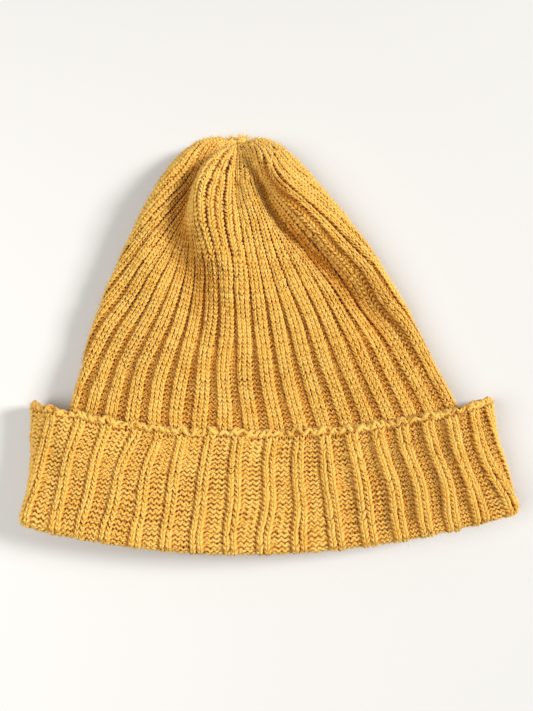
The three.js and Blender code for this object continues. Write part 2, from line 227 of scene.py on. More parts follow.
def fold_rise(fold, x, y):
    """How far one fold lifts the front wall at (x, y).

    The rise at the nearest point of the fold's line, times a bell of the distance to it."""
    nearest = np.full(x.shape, np.inf)
    rise = np.zeros(x.shape)
    for i in range(len(fold["x"]) - 1):
        ax, ay = fold["x"][i], fold["y"][i]
        dx, dy = fold["x"][i + 1] - ax, fold["y"][i + 1] - ay
        t = np.clip(((x - ax) * dx + (y - ay) * dy) / (dx * dx + dy * dy), 0, 1)
        gap_x, gap_y = x - ax - t * dx, y - ay - t * dy
        gap = np.hypot(gap_x, gap_y)
        east = dx * gap_y - dy * gap_x > 0
        width = np.where(
            east,
            fold["east"][i] * (1 - t) + fold["east"][i + 1] * t,
            fold["west"][i] * (1 - t) + fold["west"][i + 1] * t,
        )
        here = fold["rise"][i] * (1 - t) + fold["rise"][i + 1] * t
        here = here * np.exp(-((gap / width) ** 2))
        rise = np.where(gap < nearest, here, rise)
        nearest = np.minimum(gap, nearest)
    return rise


probe = fold_rise(FOLDS["left valley"], np.array([-42.0]), np.array([71.0]))
print("the left valley is", -probe[0], "mm deep at its deepest")

# %% [markdown]
# A round is an arc in plan, the same for the front and the back. Its section is a flattened tube:
# the back lies level, the sides are quarter circles, and the front rises and then folds.

# %% Rounds as closed lines
WALL_POINTS = 300


def fine_rounds(rounds, ups):
    """Closed lines of points, one for each height: left fold, front, right fold, back.

    In plan a point is centre + across * sin(q a) / sin(a) + bow * (cos(q a) - cos(a)) / (1 - cos(a)),
    where q runs from -1 to 1 between the side folds and a is half the arc's angle."""
    at = {name: curve(rounds["up"], rounds[name], ups)[:, None] for name in rounds}
    steps = np.arange(2 * WALL_POINTS + 1)[None, :]
    q = -np.cos(np.pi * steps / WALL_POINTS)
    centre_x, centre_y = (at["leftX"] + at["rightX"]) / 2, (at["leftY"] + at["rightY"]) / 2
    across_x, across_y = (at["rightX"] - at["leftX"]) / 2, (at["rightY"] - at["leftY"]) / 2
    bow_x, bow_y = at["midX"] - centre_x, at["midY"] - centre_y
    half_width = np.hypot(across_x, across_y)
    angle = 2 * np.arctan(np.hypot(bow_x, bow_y) / half_width)
    sine = np.sin(q * angle) / np.sin(angle)
    sag = (np.cos(q * angle) - np.cos(angle)) / (1 - np.cos(angle))
    x = centre_x + across_x * sine + bow_x * sag
    y = centre_y + across_y * sine + bow_y * sag
    inland = half_width / np.sin(angle) * angle * (1 - np.abs(q))
    quarter = at["edge"] * np.sqrt(1 - (1 - np.minimum(inland / at["edge"], 1)) ** 2)
    low = at["lift"] + at["edge"] - quarter
    high = at["lift"] + at["edge"] + quarter + at["puff"] * ease(inland / at["run"])
    if rounds is BODY_ROUNDS:
        for fold in FOLDS.values():
            high = high + ease(inland / at["edge"]) * fold_rise(fold, x, y)
    z = np.where(steps <= WALL_POINTS, high, low)
    return np.stack([x, y, z], axis=2)


def rib_places(lines, ups, ribs):
    """The place of each rib at each height, first along the table's heights and then its ribs."""
    heights = sorted(int(name) for name in lines if name != "rib")
    places = np.stack([lines[str(h)] for h in heights])
    at_ups = curve(np.array(heights, float), places, ups)
    return curve(lines["rib"], at_ups.T, ribs).T


def rounds_at_ribs(rounds, lines, ups, ribs):
    """Points of the rounds where the given ribs cross them, measured along each round."""
    fine = fine_rounds(rounds, ups)
    step = np.linalg.norm(np.diff(fine, axis=1), axis=2)
    length = np.concatenate([np.zeros((len(ups), 1)), np.cumsum(step, axis=1)], axis=1)
    front, total = length[:, WALL_POINTS, None], length[:, -1, None]
    place = rib_places(lines, ups, ribs)
    s = (place + 8) / 16 * front
    s = np.where(place > 8, front + (place - 8) / 16 * (total - front), s)
    s = np.where(place < -8, total + (place + 8) / 16 * (total - front), s)
    points = np.empty((len(ups), len(ribs), 3))
    for row in range(len(ups)):
        for axis in range(3):
            points[row, :, axis] = np.interp(s[row], length[row], fine[row, :, axis])
    return points


# %% Walls that can be read anywhere
PER_RIB = 24
NORMAL_STEP = 1.2


def normals(points):
    """Outward unit normals of a grid of rounds: the cross product of its two directions."""
    along = np.roll(points, -1, axis=1) - np.roll(points, 1, axis=1)
    out = np.cross(along, np.gradient(points, axis=0))
    return out / np.linalg.norm(out, axis=2, keepdims=True)


def make_wall(rounds, lines, steps, ups, depths):
    """A wall as a fine grid. Row i is the round at ups[i], moved inward by depths[i]."""
    ribs = np.arange(RIBS * PER_RIB) / PER_RIB - RIBS / 2
    points = rounds_at_ribs(rounds, lines, ups, ribs)
    above = rounds_at_ribs(rounds, lines, ups + NORMAL_STEP, ribs)
    below = rounds_at_ribs(rounds, lines, np.maximum(ups - NORMAL_STEP, 0), ribs)
    along = np.roll(points, -1, axis=1) - np.roll(points, 1, axis=1)
    outward = np.cross(along, above - below)
    outward /= np.linalg.norm(outward, axis=2, keepdims=True)
    points = points - depths[:, None, None] * outward
    pitch = np.linalg.norm(along, axis=2) * PER_RIB / 2
    grids = {"points": points, "normals": normals(points), "pitch": pitch}
    return {"low": steps[0], "step": steps[1] - steps[0], **grids}


def read_wall(wall, names, up, rib):
    """The named grids of a wall at any heights and ribs, mixed from the four nearest grid points."""
    i = np.clip((up - wall["low"]) / wall["step"], 0, len(wall["points"]) - 1.001)
    j = np.mod(rib + RIBS / 2, RIBS) * PER_RIB
    i0, j0 = i.astype(int), j.astype(int) % (RIBS * PER_RIB)
    j1 = (j0 + 1) % (RIBS * PER_RIB)
    fi, fj = i - i0, j - np.floor(j)
    found = []
    for name in names:
        grid = wall[name]
        more = (Ellipsis,) + (None,) * (grid.ndim - 2)
        low = grid[i0, j0] * (1 - fj)[more] + grid[i0, j1] * fj[more]
        high = grid[i0 + 1, j0] * (1 - fj)[more] + grid[i0 + 1, j1] * fj[more]
        found.append(low * (1 - fi)[more] + high * fi[more])
    return found


body_steps = np.arange(SEAM_UP, BODY_TOP + 0.1, 1.0)
body_wall = make_wall(BODY_ROUNDS, BODY_FURROWS, body_steps, body_steps, np.zeros(len(body_steps)))
print("body wall grid:", body_wall["points"].shape)

# %% [markdown]
# The cuff turns round at the brim. Its height counts down past the fold: from the outer face, half
# way round a circle through the fold, and a little up the inside.

# %% The cuff's wall
FOLD_RADIUS = (LAYER + WALL) / 2
cuff_steps = np.arange(FOLD_RADIUS * (1 - np.pi) - 6, CUFF_HEIGHT + 0.1, 0.5)
cuff_turn = np.clip((FOLD_RADIUS - cuff_steps) / FOLD_RADIUS, 0, np.pi)
cuff_inside = np.maximum(FOLD_RADIUS * (1 - np.pi) - cuff_steps, 0)
cuff_ups = np.where(
    cuff_turn > 0, FOLD_RADIUS * (1 - np.sin(cuff_turn)) + cuff_inside, cuff_steps
)
cuff_depths = FOLD_RADIUS * (1 - np.cos(cuff_turn))
cuff_wall = make_wall(CUFF_ROUNDS, CUFF_RIBS, cuff_steps, cuff_ups, cuff_depths)
print("cuff wall grid:", cuff_wall["points"].shape, "fold radius", FOLD_RADIUS)

# %% [markdown]
# ## Meshes from arrays
#
# Curve objects with a bevel would be the usual way to make yarn in Blender. Here there are some
# twenty thousand stitches, so the tubes are worked out as whole arrays and become a few meshes.


# %% Mesh helpers
def new_object(name, points, blocks, corners):
    """A smooth mesh object from points, in millimetres, and blocks of faces.

    Each block is an array of faces with the same number of corners. corners holds a place on a
    flat map for each corner of each face, which patterns that follow the yarn can read."""
    mesh = bpy.data.meshes.new(name)
    sizes = np.concatenate([np.full(len(block), block.shape[1]) for block in blocks])
    mesh.vertices.add(len(points))
    mesh.vertices.foreach_set("co", (points * MM).astype(np.float32).ravel())
    mesh.loops.add(int(sizes.sum()))
    indices = np.concatenate([block.ravel() for block in blocks])
    mesh.loops.foreach_set("vertex_index", indices.astype(np.int32))
    mesh.polygons.add(len(sizes))
    mesh.polygons.foreach_set("loop_start", (np.cumsum(sizes) - sizes).astype(np.int32))
    mesh.polygons.foreach_set("use_smooth", np.ones(len(sizes), bool))
    mesh.update(calc_edges=True)
    layer = mesh.uv_layers.new(name="OFBake")
    layer.data.foreach_set("uv", corners.astype(np.float32).ravel())
    thing = bpy.data.objects.new(name, mesh)
    bpy.context.scene.collection.objects.link(thing)
    return thing


def add_values(thing, name, values):
    """A number for each vertex, which a material can read by this name."""
    layer = thing.data.attributes.new(name, "FLOAT", "POINT")
    layer.data.foreach_set("value", values.astype(np.float32).ravel())


def unit(vectors):
    """Vectors of the same directions, each of length 1."""
    return vectors / np.linalg.norm(vectors, axis=-1, keepdims=True)


def tube_grid(paths, outward, radii, sides):
    """Tubes round many paths at once.

    Each path point gets a ring of corners: path + radius * (cos * up + sin * side), where side is
    the path's direction crossed with the wall's normal, and up is at right angles to both. The
    first corner is on top, so four sides already look round from outside."""
    ahead = unit(np.gradient(paths, axis=1))
    side = unit(np.cross(ahead, outward))
    upward = np.cross(side, ahead)
    angle = 2 * np.pi * np.arange(sides) / sides
    ring = np.cos(angle)[:, None] * upward[:, :, None] + np.sin(angle)[:, None] * side[:, :, None]
    return paths[:, :, None, :] + radii[:, :, None, None] * ring


def tube_faces(count, length, sides):
    """Faces and map corners of count tubes of length rings each, with both ends closed."""
    strip, k = np.indices((length - 1, sides))
    here, beside = strip * sides + k, strip * sides + (k + 1) % sides
    wall = np.stack([here, beside, beside + sides, here + sides], axis=2).reshape(-1, 4)
    ends = np.stack([np.arange(sides)[::-1], (length - 1) * sides + np.arange(sides)])
    first = (np.arange(count) * length * sides)[:, None, None]
    u0, u1, v0, v1 = strip / (length - 1), (strip + 1) / (length - 1), k / sides, (k + 1) / sides
    walls = np.stack([u0, v0, u0, v1, u1, v1, u1, v0], axis=2).reshape(1, -1, 2)
    caps = np.tile(np.array([[0, 0], [1, 0]])[:, None], (1, sides, 1)).reshape(1, -1, 2)
    lane = np.arange(count)[:, None]
    maps = [np.repeat(part, count, axis=0).astype(float) for part in (walls, caps)]
    for part in maps:
        part[..., 1] = (part[..., 1] * 0.96 + lane) / count
    blocks = [(first + part).reshape(-1, part.shape[-1]) for part in (wall, ends)]
    return blocks, [part.reshape(-1, 2) for part in maps]


PAINTED_UNDERSIDE_SHADE = 1.0


def tubes(name, groups, sides):
    """One object from several groups of tubes, each given as paths, normals, radii and depths.

    Round a tube the depth grows by the painted underside shade times ((1 - cos) / 2) ** 1.2, so its
    underside gets a painted shade."""
    # Painted shade: the underside of each tube gets a deeper colour.
    underside_shade = PAINTED_UNDERSIDE_SHADE * ((1 - np.cos(2 * np.pi * np.arange(sides) / sides)) / 2) ** 1.2
    points, walls, ends, wall_maps, end_maps, values = [], [], [], [], [], []
    start = 0
    for g, (paths, outward, radii, depths) in enumerate(groups):
        grid = tube_grid(paths, outward, radii, sides)
        grid[..., 2] = np.maximum(grid[..., 2], 0.03)
        blocks, maps = tube_faces(*paths.shape[:2], sides)
        for part in maps:
            part[:, 1] = (part[:, 1] + g) / len(groups)
        points.append(grid.reshape(-1, 3))
        walls.append(blocks[0] + start)
        ends.append(blocks[1] + start)
        wall_maps.append(maps[0])
        end_maps.append(maps[1])
        values.append((depths.ravel()[:, None] + underside_shade).ravel())
        start += grid.size // 3
    blocks = [np.concatenate(walls), np.concatenate(ends)]
    corners = np.concatenate(wall_maps + end_maps)
    thing = new_object(name, np.concatenate(points), blocks, corners)
    add_values(thing, "depth", np.concatenate(values))
    return thing


def count_triangles(things):
    """How many triangles the objects' faces make. Each object's own number is printed."""
    counts = [len(thing.data.loops) - 2 * len(thing.data.polygons) for thing in things]
    for thing, count in zip(things, counts):
        print(thing.name, count, "triangles")
    return sum(counts)


print("mesh helpers are ready")

# %% [markdown]
# ## How the knitting stands off the wall
#
# The hat is knitted three and two: three knit stitches stand up as a rib, and two purl stitches
# sink into the furrow beside it. Nearer the tip the furrows close up to thin slits. The cuff shows
# the other side of the same fabric, with two stitches up and three down.

# %% Relief of the ribs
BODY_SECTION = table("up furrow high deep", [
    [50, 0.38, 0.3, 0.75], [75, 0.34, 0.3, 0.85], [95, 0.25, 0.35, 0.95], [115, 0.16, 0.35, 1.05],
    [140, 0.12, 0.4, 1.05], [170, 0.11, 0.45, 0.95], [217, 0.11, 0.3, 0.8],
])
FURROW_ENDS = table("furrow up wide", [
    [-18, 130, 0.1], [-14, 130, 0.1], [-13, 140, 0.1], [-12, 196, 0.22], [-11, 176, 0.14],
    [-10, 186, 0.22], [-9, 158, 0.12], [-8, 148, 0.1], [-7, 142, 0.1], [-6, 138, 0.1],
    [-5, 138, 0.1], [-4, 146, 0.1], [-3, 196, 0.16], [-2, 182, 0.12], [-1, 195, 0.13],
    [0, 160, 0.1], [1, 170, 0.12], [2, 182, 0.14], [3, 196, 0.15], [4, 182, 0.14],
    [5, 168, 0.12], [6, 158, 0.12], [7, 160, 0.12], [8, 204, 0.4], [9, 176, 0.2],
    [10, 192, 0.22], [11, 160, 0.14], [12, 135, 0.1], [13, 130, 0.1], [18, 130, 0.1],
])
CUFF_SECTION = table("up rib high deep", [
    [-12, 0.41, 0, 0.3], [0, 0.43, 0.1, 0.35], [12, 0.43, 0.25, 0.55], [30, 0.42, 0.3, 0.55],
    [55, 0.41, 0.3, 0.4],
])
FURROW_CLOSING = 14.0
OPEN_WIDE = 0.13
OPEN_HIGH = 0.35
OPEN_DEEP = 0.55


def read_section(section, name, up):
    """One column of a section table, read at any heights."""
    return curve(section["up"], section[name], up)


def furrow_value(name, rib):
    """One column of the furrows' own table, read at the nearest furrow of each rib number."""
    furrow = np.mod(np.round(rib) + RIBS / 2, RIBS) - RIBS / 2
    return np.interp(furrow, FURROW_ENDS["furrow"], FURROW_ENDS[name])


def furrow_share(up, rib):
    """A furrow's share of a rib. A few furrows keep a width of their own near the tip."""
    return np.maximum(read_section(BODY_SECTION, "furrow", up), furrow_value("wide", rib))


def body_relief(up, rib):
    """How high the crown's knitting stands off its wall. A whole rib number is a furrow.

    Flat in the furrow, then a smooth step up, and a low dome across the rib. Each furrow closes
    over FURROW_CLOSING above its own end, so only a few run on to the tip."""
    furrow = furrow_share(up, rib)
    shut = ease((up - furrow_value("up", rib)) / FURROW_CLOSING)
    high = read_section(BODY_SECTION, "high", up) * (1 - 0.5 * shut)
    deep = read_section(BODY_SECTION, "deep", up) * (1 - 0.8 * shut)
    off = np.abs(rib - np.round(rib))
    climb = ease((off - 0.25 * furrow) / (0.4 * furrow + 0.05))
    dome = 1 - (1 - 2 * off) ** 2
    return -deep + (deep + high * dome) * climb


def cuff_open(rib):
    """How far the ribs open, from 0 to 1. The cuff is stretched on the right of its front."""
    place = np.mod(rib + RIBS / 2, RIBS) - RIBS / 2
    return ease((place + 0.5) / 5) * (1 - ease((place - 9) / 4))


def cuff_share(up, rib):
    """The narrow rib's share of a rib."""
    return read_section(CUFF_SECTION, "rib", up) + OPEN_WIDE * cuff_open(rib)


def cuff_relief(up, rib):
    """The same for the cuff, where a whole rib number is the middle of a narrow rib.

    Where the ribs open they also stand higher, but not round the fold."""
    wide = cuff_share(up, rib)
    opened = cuff_open(rib) * ease((up + 2) / 14)
    high = read_section(CUFF_SECTION, "high", up) + OPEN_HIGH * opened
    deep = read_section(CUFF_SECTION, "deep", up) + OPEN_DEEP * opened
    off = np.abs(rib - np.round(rib))
    drop = ease((off - 0.36 * wide) / (0.28 * wide))
    crown = 0.2 * (1 - np.minimum(off / (wide / 2), 1) ** 2)
    swell = 0.3 * (1 + np.cos((off - 0.5) * 2 * np.pi)) / 2
    return high + crown - (high + deep + crown - swell) * drop


print("a rib stands", body_relief(np.array([60.0]), np.array([0.5])).round(2), "mm over the wall")

# %% [markdown]
# Hand knitting is never even. Slow waves bend the rounds and ribs a little, and each stitch is off
# by a small random amount of its own.

# %% Unevenness
WAVE_COUNT = 12
wave_ups = rng.uniform(-0.17, 0.17, (3, WAVE_COUNT))
wave_ribs = rng.integers(-14, 15, (3, WAVE_COUNT))
wave_starts = rng.uniform(0, 2 * np.pi, (3, WAVE_COUNT))


def waves(kind, up, rib):
    """A slow field, mostly between -1 and 1: a sum of sines that close up round the head."""
    total = np.zeros(np.broadcast(up, rib).shape)
    for i in range(WAVE_COUNT):
        turn = 2 * np.pi * wave_ribs[kind, i] * rib / RIBS
        total += np.sin(wave_ups[kind, i] * up + turn + wave_starts[kind, i])
    return total / 4


print("waves along the brim:", waves(0, 0.0, np.arange(4.0)).round(2))

# %% [markdown]
# Each rib has a pattern, such as PPKKK: K is a knit stitch and P a purl stitch. Its first run of
# equal letters is centred on a whole rib number, and the rest fills the way to the next rib. A
# pattern of one letter only fills the rib evenly.


# %% Plan of the stitches
def plan_stitches(first, last, patterns, span=1, own=None):
    """One row of numbers for each stitch between two ribs: rib, sign, left and wide.

    left and wide are pairs: the stitch starts at left[0] + left[1] * share past its rib, where
    share is the first run's part of a rib, and it is wide[0] + wide[1] * share wide. span is how
    many ribs a pattern takes, which is more than one only near the tip. own holds the patterns of
    single ribs."""
    rows = []
    for rib in range(first, last, span):
        pattern = (own or {}).get(rib, patterns[rib // span % len(patterns)])
        lead = len(pattern) - len(pattern.lstrip(pattern[0]))
        rest = len(pattern) - lead
        for i, letter in enumerate(pattern):
            sign = 1 if letter == "K" else -1
            if rest == 0:
                rows.append([rib, sign, span * i / lead, 0, span / lead, 0])
            elif i < lead:
                rows.append([rib, sign, 0, i / lead - 0.5, 0, 1 / lead])
            else:
                k = i - lead
                rows.append([rib, sign, k / rest, 0.5 - k / rest, 1 / rest, -1 / rest])
    return table("rib sign left0 left1 wide0 wide1", rows)


print(len(plan_stitches(0, RIBS, ["PPKKK"])["rib"]), "stitches go round the brim")

# %% [markdown]
# Now many rounds of yarn are laid at once.


# %% Rounds of loops
# Lines of painted shade in the crown's two valleys, where the folds keep the light out.
SHADES = fold_lines({
    "left valley": [
        [-24, 101, 0.09, 3.5, 2.6], [-29.5, 96, 0.27, 4.5, 2.8], [-34.5, 91, 0.42, 5.5, 3],
        [-38.8, 84.5, 0.52, 6.5, 3.2], [-42, 76, 0.6, 7.5, 3.4], [-43.6, 68, 0.6, 8.5, 3.6],
        [-46, 60, 0.55, 9.5, 6], [-47, 51, 0.48, 10, 8], [-43, 42, 0.45, 10, 9],
        [-38, 34, 0.44, 10, 9], [-34, 25, 0.43, 9, 9], [-31.5, 15, 0.4, 9, 9],
        [-29.5, 5, 0.28, 9, 9], [-28, -8, 0, 9, 9],
    ],
    "right valley": [
        [-9, 98, 0.15, 3, 2.6], [-6, 87, 0.45, 4, 3], [-1, 76, 0.7, 5, 3.2],
        [4.5, 67, 0.9, 6, 4], [9, 58, 1, 6, 5], [14, 48.5, 1, 7, 5],
        [24, 38.5, 0.85, 7, 6], [34, 28, 0.7, 7, 6], [42, 18, 0.55, 7, 6],
        [50, 8.5, 0.42, 7, 6], [58, -1.5, 0.28, 7, 6], [68, -14, 0, 7, 6],
    ],
})


def valley_gloom(points, outward):
    """The painted shade in the crown's two valleys, where little light arrives: how much deeper the
    colour gets.

    Each row of a shade is a point of its line, with the painted shade there in place of a rise."""
    total = sum(fold_rise(shade, points[..., 0], points[..., 1]) for shade in SHADES.values())
    return total * ease(outward[..., 2])


ROW = 2.12
TALL = 0.8
SWING = 0.33
PURL_SWING = 0.75
BEND = 0.75
YARN = 0.248
THINNEST = 0.45
THICKEST = 0.85
PULL = 0.055
GROOVE = 0.2
GROOVE_PAINTED_SHADE = 0.42
PAINTED_SHADE_BASE = 0.38
KNIT_DIP_SHADE = 1.1
PURL_DIP_SHADE = 0.85
ODD = {"swing": 0.045, "across": 0.07, "high": 0.05, "rise": 0.27, "radius": 0.1, "base": 0.14}


def lay_rounds(wall, relief, share, furrow_shade, ups, plan, samples):
    """Paths, normals, radii and depths of the rounds of yarn at the heights ups.

    With t from 0 to 2 pi in a stitch, the path goes sideways by t / 2 pi + SWING * sin(2 t), up by
    -TALL * ROW * cos(t), and off the wall by -BEND * radius * cos(2 t), or the opposite in a purl
    stitch. PULL draws a stitch's two legs together, and a groove parts a knit stitch from the next.
    ODD says how far each stitch strays. The depths are painted shade: the colour gets deeper where
    the yarn dips back behind its neighbours, in the grooves, by the furrow shade argument for each
    millimetre that the yarn lies in a furrow, and in the crown's valleys."""
    count = len(plan["rib"])
    steps = np.arange(count * samples + 1)
    stitch = np.minimum(steps // samples, count - 1)
    t = 2 * np.pi * (steps - stitch * samples) / samples
    at = {name: plan[name][stitch] for name in plan}
    before = plan["sign"][np.maximum(stitch - 1, 0)]
    sign = np.where(steps % samples == 0, (at["sign"] + before) / 2, at["sign"])

    noise = rng.normal(0, 1, (len(ODD), len(ups), count))[:, :, stitch]
    odd = {name: ODD[name] * noise[i] for i, name in enumerate(ODD)}
    middle = np.sin(t / 2) ** 2
    swing = (SWING + odd["swing"]) * np.where(at["sign"] > 0, 1, PURL_SWING)
    across = t / (2 * np.pi) + swing * np.sin(2 * t) + odd["across"] * middle
    across = across + PULL * np.sin(2 * np.pi * across)
    groove = np.where(at["sign"] > 0, 0.5 + 0.5 * np.cos(2 * np.pi * across), 0) ** 3
    part = share(ups[:, None], at["rib"])
    wide = at["wide0"] + at["wide1"] * part
    rib = at["rib"] + at["left0"] + at["left1"] * part + wide * across
    rise = -ROW * (TALL + odd["high"]) * np.cos(t) + odd["rise"] * middle
    up = ups[:, None] + rise + 0.3 * ROW * waves(0, ups[:, None], rib)
    rib = rib + 0.05 * waves(1, ups[:, None], rib)
    points, outward, pitch = read_wall(wall, ("points", "normals", "pitch"), up, rib)
    radii = np.clip(YARN * pitch * wide, THINNEST, THICKEST) * (1 + odd["radius"])
    off = -BEND * radii * sign * np.cos(2 * t)
    under = ease(-outward[..., 2])
    base = relief(up, rib) * (1 - 0.5 * under) - 0.5 * under + 0.12 * waves(2, up, rib)
    base = base + odd["base"] * middle - GROOVE * groove
    paths = points + outward * (base + off)[..., None]
    # Painted shade: yarn that dips back behind its neighbours gets a deeper colour, knit more than
    # purl.
    depths = PAINTED_SHADE_BASE - np.where(at["sign"] > 0, KNIT_DIP_SHADE, PURL_DIP_SHADE) * off
    # Painted shade in the grooves between knit stitches and on yarn that lies deep in a furrow.
    depths = depths + GROOVE_PAINTED_SHADE * groove + furrow_shade * np.clip(0.3 - base, 0, 2)
    # Painted shade in the crown's valleys.
    if wall is body_wall:
        depths = depths + valley_gloom(points, outward)
    return paths, outward, radii, np.clip(depths, 0, 1.5)


print("rounds lie", ROW, "mm apart")

# %% [markdown]
# ## The crown's knitting
#
# The front has finer tubes than the back, which lies on the table. Its rounds start under the
# cuff's free edge, and the pattern gets shorter towards the tip, where stitches are knitted
# together. One furrow on the right stays open past most of the others.

# %% Crown yarn
BANDS = [dict(zip(("low", "high", "span", "patterns"), row)) for row in [
    (46, 94, 1, ["PPKKK"]),
    (94, 100, 1, ["PPKKK", "PKKK", "PKKK"]),
    (100, 122, 1, ["PKKK"]),
    (122, 128, 1, ["PKKK", "KKK"]),
    (128, 140, 1, ["KKK"]),
    (140, 146, 1, ["KK", "KKK", "KK"]),
    (146, 188, 1, ["KK"]),
    (188, 194, 1, ["K", "KK"]),
    (194, 207, 1, ["K"]),
    (207, 216, 2, ["K"]),
]]
OPEN_FURROWS = {8: "PPKK"}
OPEN_FROM = 128
OPEN_TO = 186
# How much painted shade the crown's furrows get.
BODY_FURROW_SHADE = 0.3
FRONT_SAMPLES = 8
TURN_SAMPLES = 6
BACK_SAMPLES = 5


def side_ribs(lines, up, place):
    """The ribs just past the left and right side folds at a height."""
    ribs = np.arange(-RIBS // 2, RIBS // 2 + 1)
    places = rib_places(lines, np.array([up]), ribs.astype(float))[0]
    return int(ribs[np.argmax(places > -place)]) - 1, int(ribs[np.argmax(places > place)])


front_groups, back_groups = [], []
for band in BANDS:
    ups = np.arange(band["low"], band["high"] - 0.1, ROW) + ROW / 2
    left, right = side_ribs(BODY_FURROWS, ups.mean(), 8.4)
    left, right = left - left % band["span"], right + right % band["span"]
    laid = (body_wall, body_relief, furrow_share, BODY_FURROW_SHADE, ups)
    own = OPEN_FURROWS if OPEN_FROM <= band["low"] < OPEN_TO else None
    front_plan = plan_stitches(left, right, band["patterns"], band["span"], own)
    back_plan = plan_stitches(right, left + RIBS, band["patterns"], band["span"])
    front_groups.append(lay_rounds(*laid, front_plan, FRONT_SAMPLES))
    back_groups.append(lay_rounds(*laid, back_plan, BACK_SAMPLES))
    print("from", band["low"], "mm:", right - left, "ribs in front and", len(ups), "rounds")

knitting = [
    tubes("crown_front_low", front_groups[:2], 4),
    tubes("crown_front_middle", front_groups[2:5], 4),
    tubes("crown_front_high", front_groups[5:], 4),
    tubes("crown_back", back_groups, 3),
]

# %% [markdown]
# ## The cuff's knitting
#
# The cuff's rounds run up its outer face from the fold. A few more run round the fold and up the
# inside, where the turned-up layer meets the crown's.

# %% Cuff yarn
CUFF_PATTERN = "KKPPP"
# How much painted shade the cuff's furrows get.
CUFF_FURROW_SHADE = 0.12
cuff_face_ups = np.arange(-1.6, CUFF_HEIGHT - 2, ROW)
cuff_fold_ups = np.arange(-1.6 - ROW, cuff_steps[0] + 1, -ROW)[::-1]
cuff_left, cuff_right = side_ribs(CUFF_RIBS, 28.0, 8.4)


def lay_cuff(ups, ribs, samples):
    """Rounds of the cuff between two ribs."""
    plan = plan_stitches(*ribs, [CUFF_PATTERN])
    return lay_rounds(cuff_wall, cuff_relief, cuff_share, CUFF_FURROW_SHADE, ups, plan, samples)


cuff_behind = (cuff_right, cuff_left + RIBS)
knitting += [
    tubes("cuff_front", [lay_cuff(cuff_face_ups, (cuff_left, cuff_right), FRONT_SAMPLES)], 4),
    tubes("cuff_back", [lay_cuff(cuff_face_ups, cuff_behind, BACK_SAMPLES)], 3),
    tubes("cuff_turn", [lay_cuff(cuff_fold_ups, (0, RIBS), TURN_SAMPLES)], 3),
]
print("cuff ribs in front:", cuff_right - cuff_left)

# %% [markdown]
# The free edge is cast off: four strands wind round it, two each way, so they cross in a soft
# lip. It stands up over each rib and dips over each panel. Their turns are uneven.

# %% The cast-off edge
EDGE_STRANDS = 4
EDGE_SAMPLES = 12
EDGE_TURNS = 81
EDGE_RADIUS = 0.98
EDGE_HIGH = 1.0
EDGE_THICK = 0.6


def smooth_noise(count):
    """Random numbers in a row, each mixed with its neighbours by a bell one turn wide."""
    reach = np.arange(-3 * EDGE_SAMPLES, 3 * EDGE_SAMPLES + 1)
    bell = np.exp(-((reach / EDGE_SAMPLES) ** 2))
    bell /= np.sqrt((bell**2).sum())
    return np.convolve(rng.normal(0, 1, count + len(reach) - 1), bell, mode="valid")


def edge_strand(start, way):
    """One strand round the free edge: a helix about the edge line, with an oval section."""
    count = EDGE_TURNS * EDGE_SAMPLES + 1
    s = np.arange(count) / EDGE_SAMPLES
    angle = 2 * np.pi * (way * s + start) + 1.3 * smooth_noise(count)
    rib = s / EDGE_TURNS * RIBS - RIBS / 2 + 0.03 * smooth_noise(count)
    ribbed = 1 - ease((np.abs(rib - np.round(rib)) - 0.12) / 0.14)
    high = EDGE_HIGH + 0.3 * ribbed + 0.25 * smooth_noise(count)
    thick = EDGE_THICK + 0.2 * smooth_noise(count)
    up = CUFF_HEIGHT - 1.6 + 0.3 * waves(0, 55.0, rib)
    centre, outward = read_wall(cuff_wall, ("points", "normals"), up, rib)
    above = read_wall(cuff_wall, ("points",), up - 2, rib)[0]
    along = unit(centre - above)
    off = -0.45 + 0.45 * ribbed + thick * np.cos(angle)
    rise = 0.6 + 0.6 * ribbed + high * np.sin(angle)
    path = centre + outward * off[:, None] + along * rise[:, None]
    middle = path - (centre + outward * (off - thick * np.cos(angle))[:, None])
    radii = EDGE_RADIUS * (1 + 0.15 * smooth_noise(count))
    # Painted shade: a strand is darker where it winds in under the lip and lighter over the ribs; the
    # noise adds a random tone.
    depth = 0.33 - 0.3 * np.cos(angle) - 0.1 * ribbed + 0.2 * smooth_noise(count)
    return path[None], unit(middle + 0.01)[None], radii[None], depth[None]


strands = [edge_strand(i / EDGE_STRANDS, 1 - i % 2 * 2) for i in range(EDGE_STRANDS)]
knitting.append(tubes("cuff_edge", strands, 4))
print("all the knitting has", count_triangles(knitting))

# %% [markdown]
# ## The wall behind the yarn
#
# Real yarn leaves no see-through gaps here, because its fibres fill them. A closed ribbed wall lies
# just under the loops and does the same, painted dark as the shade in the gaps. It is also the hat's
# inside, without loops of its own.


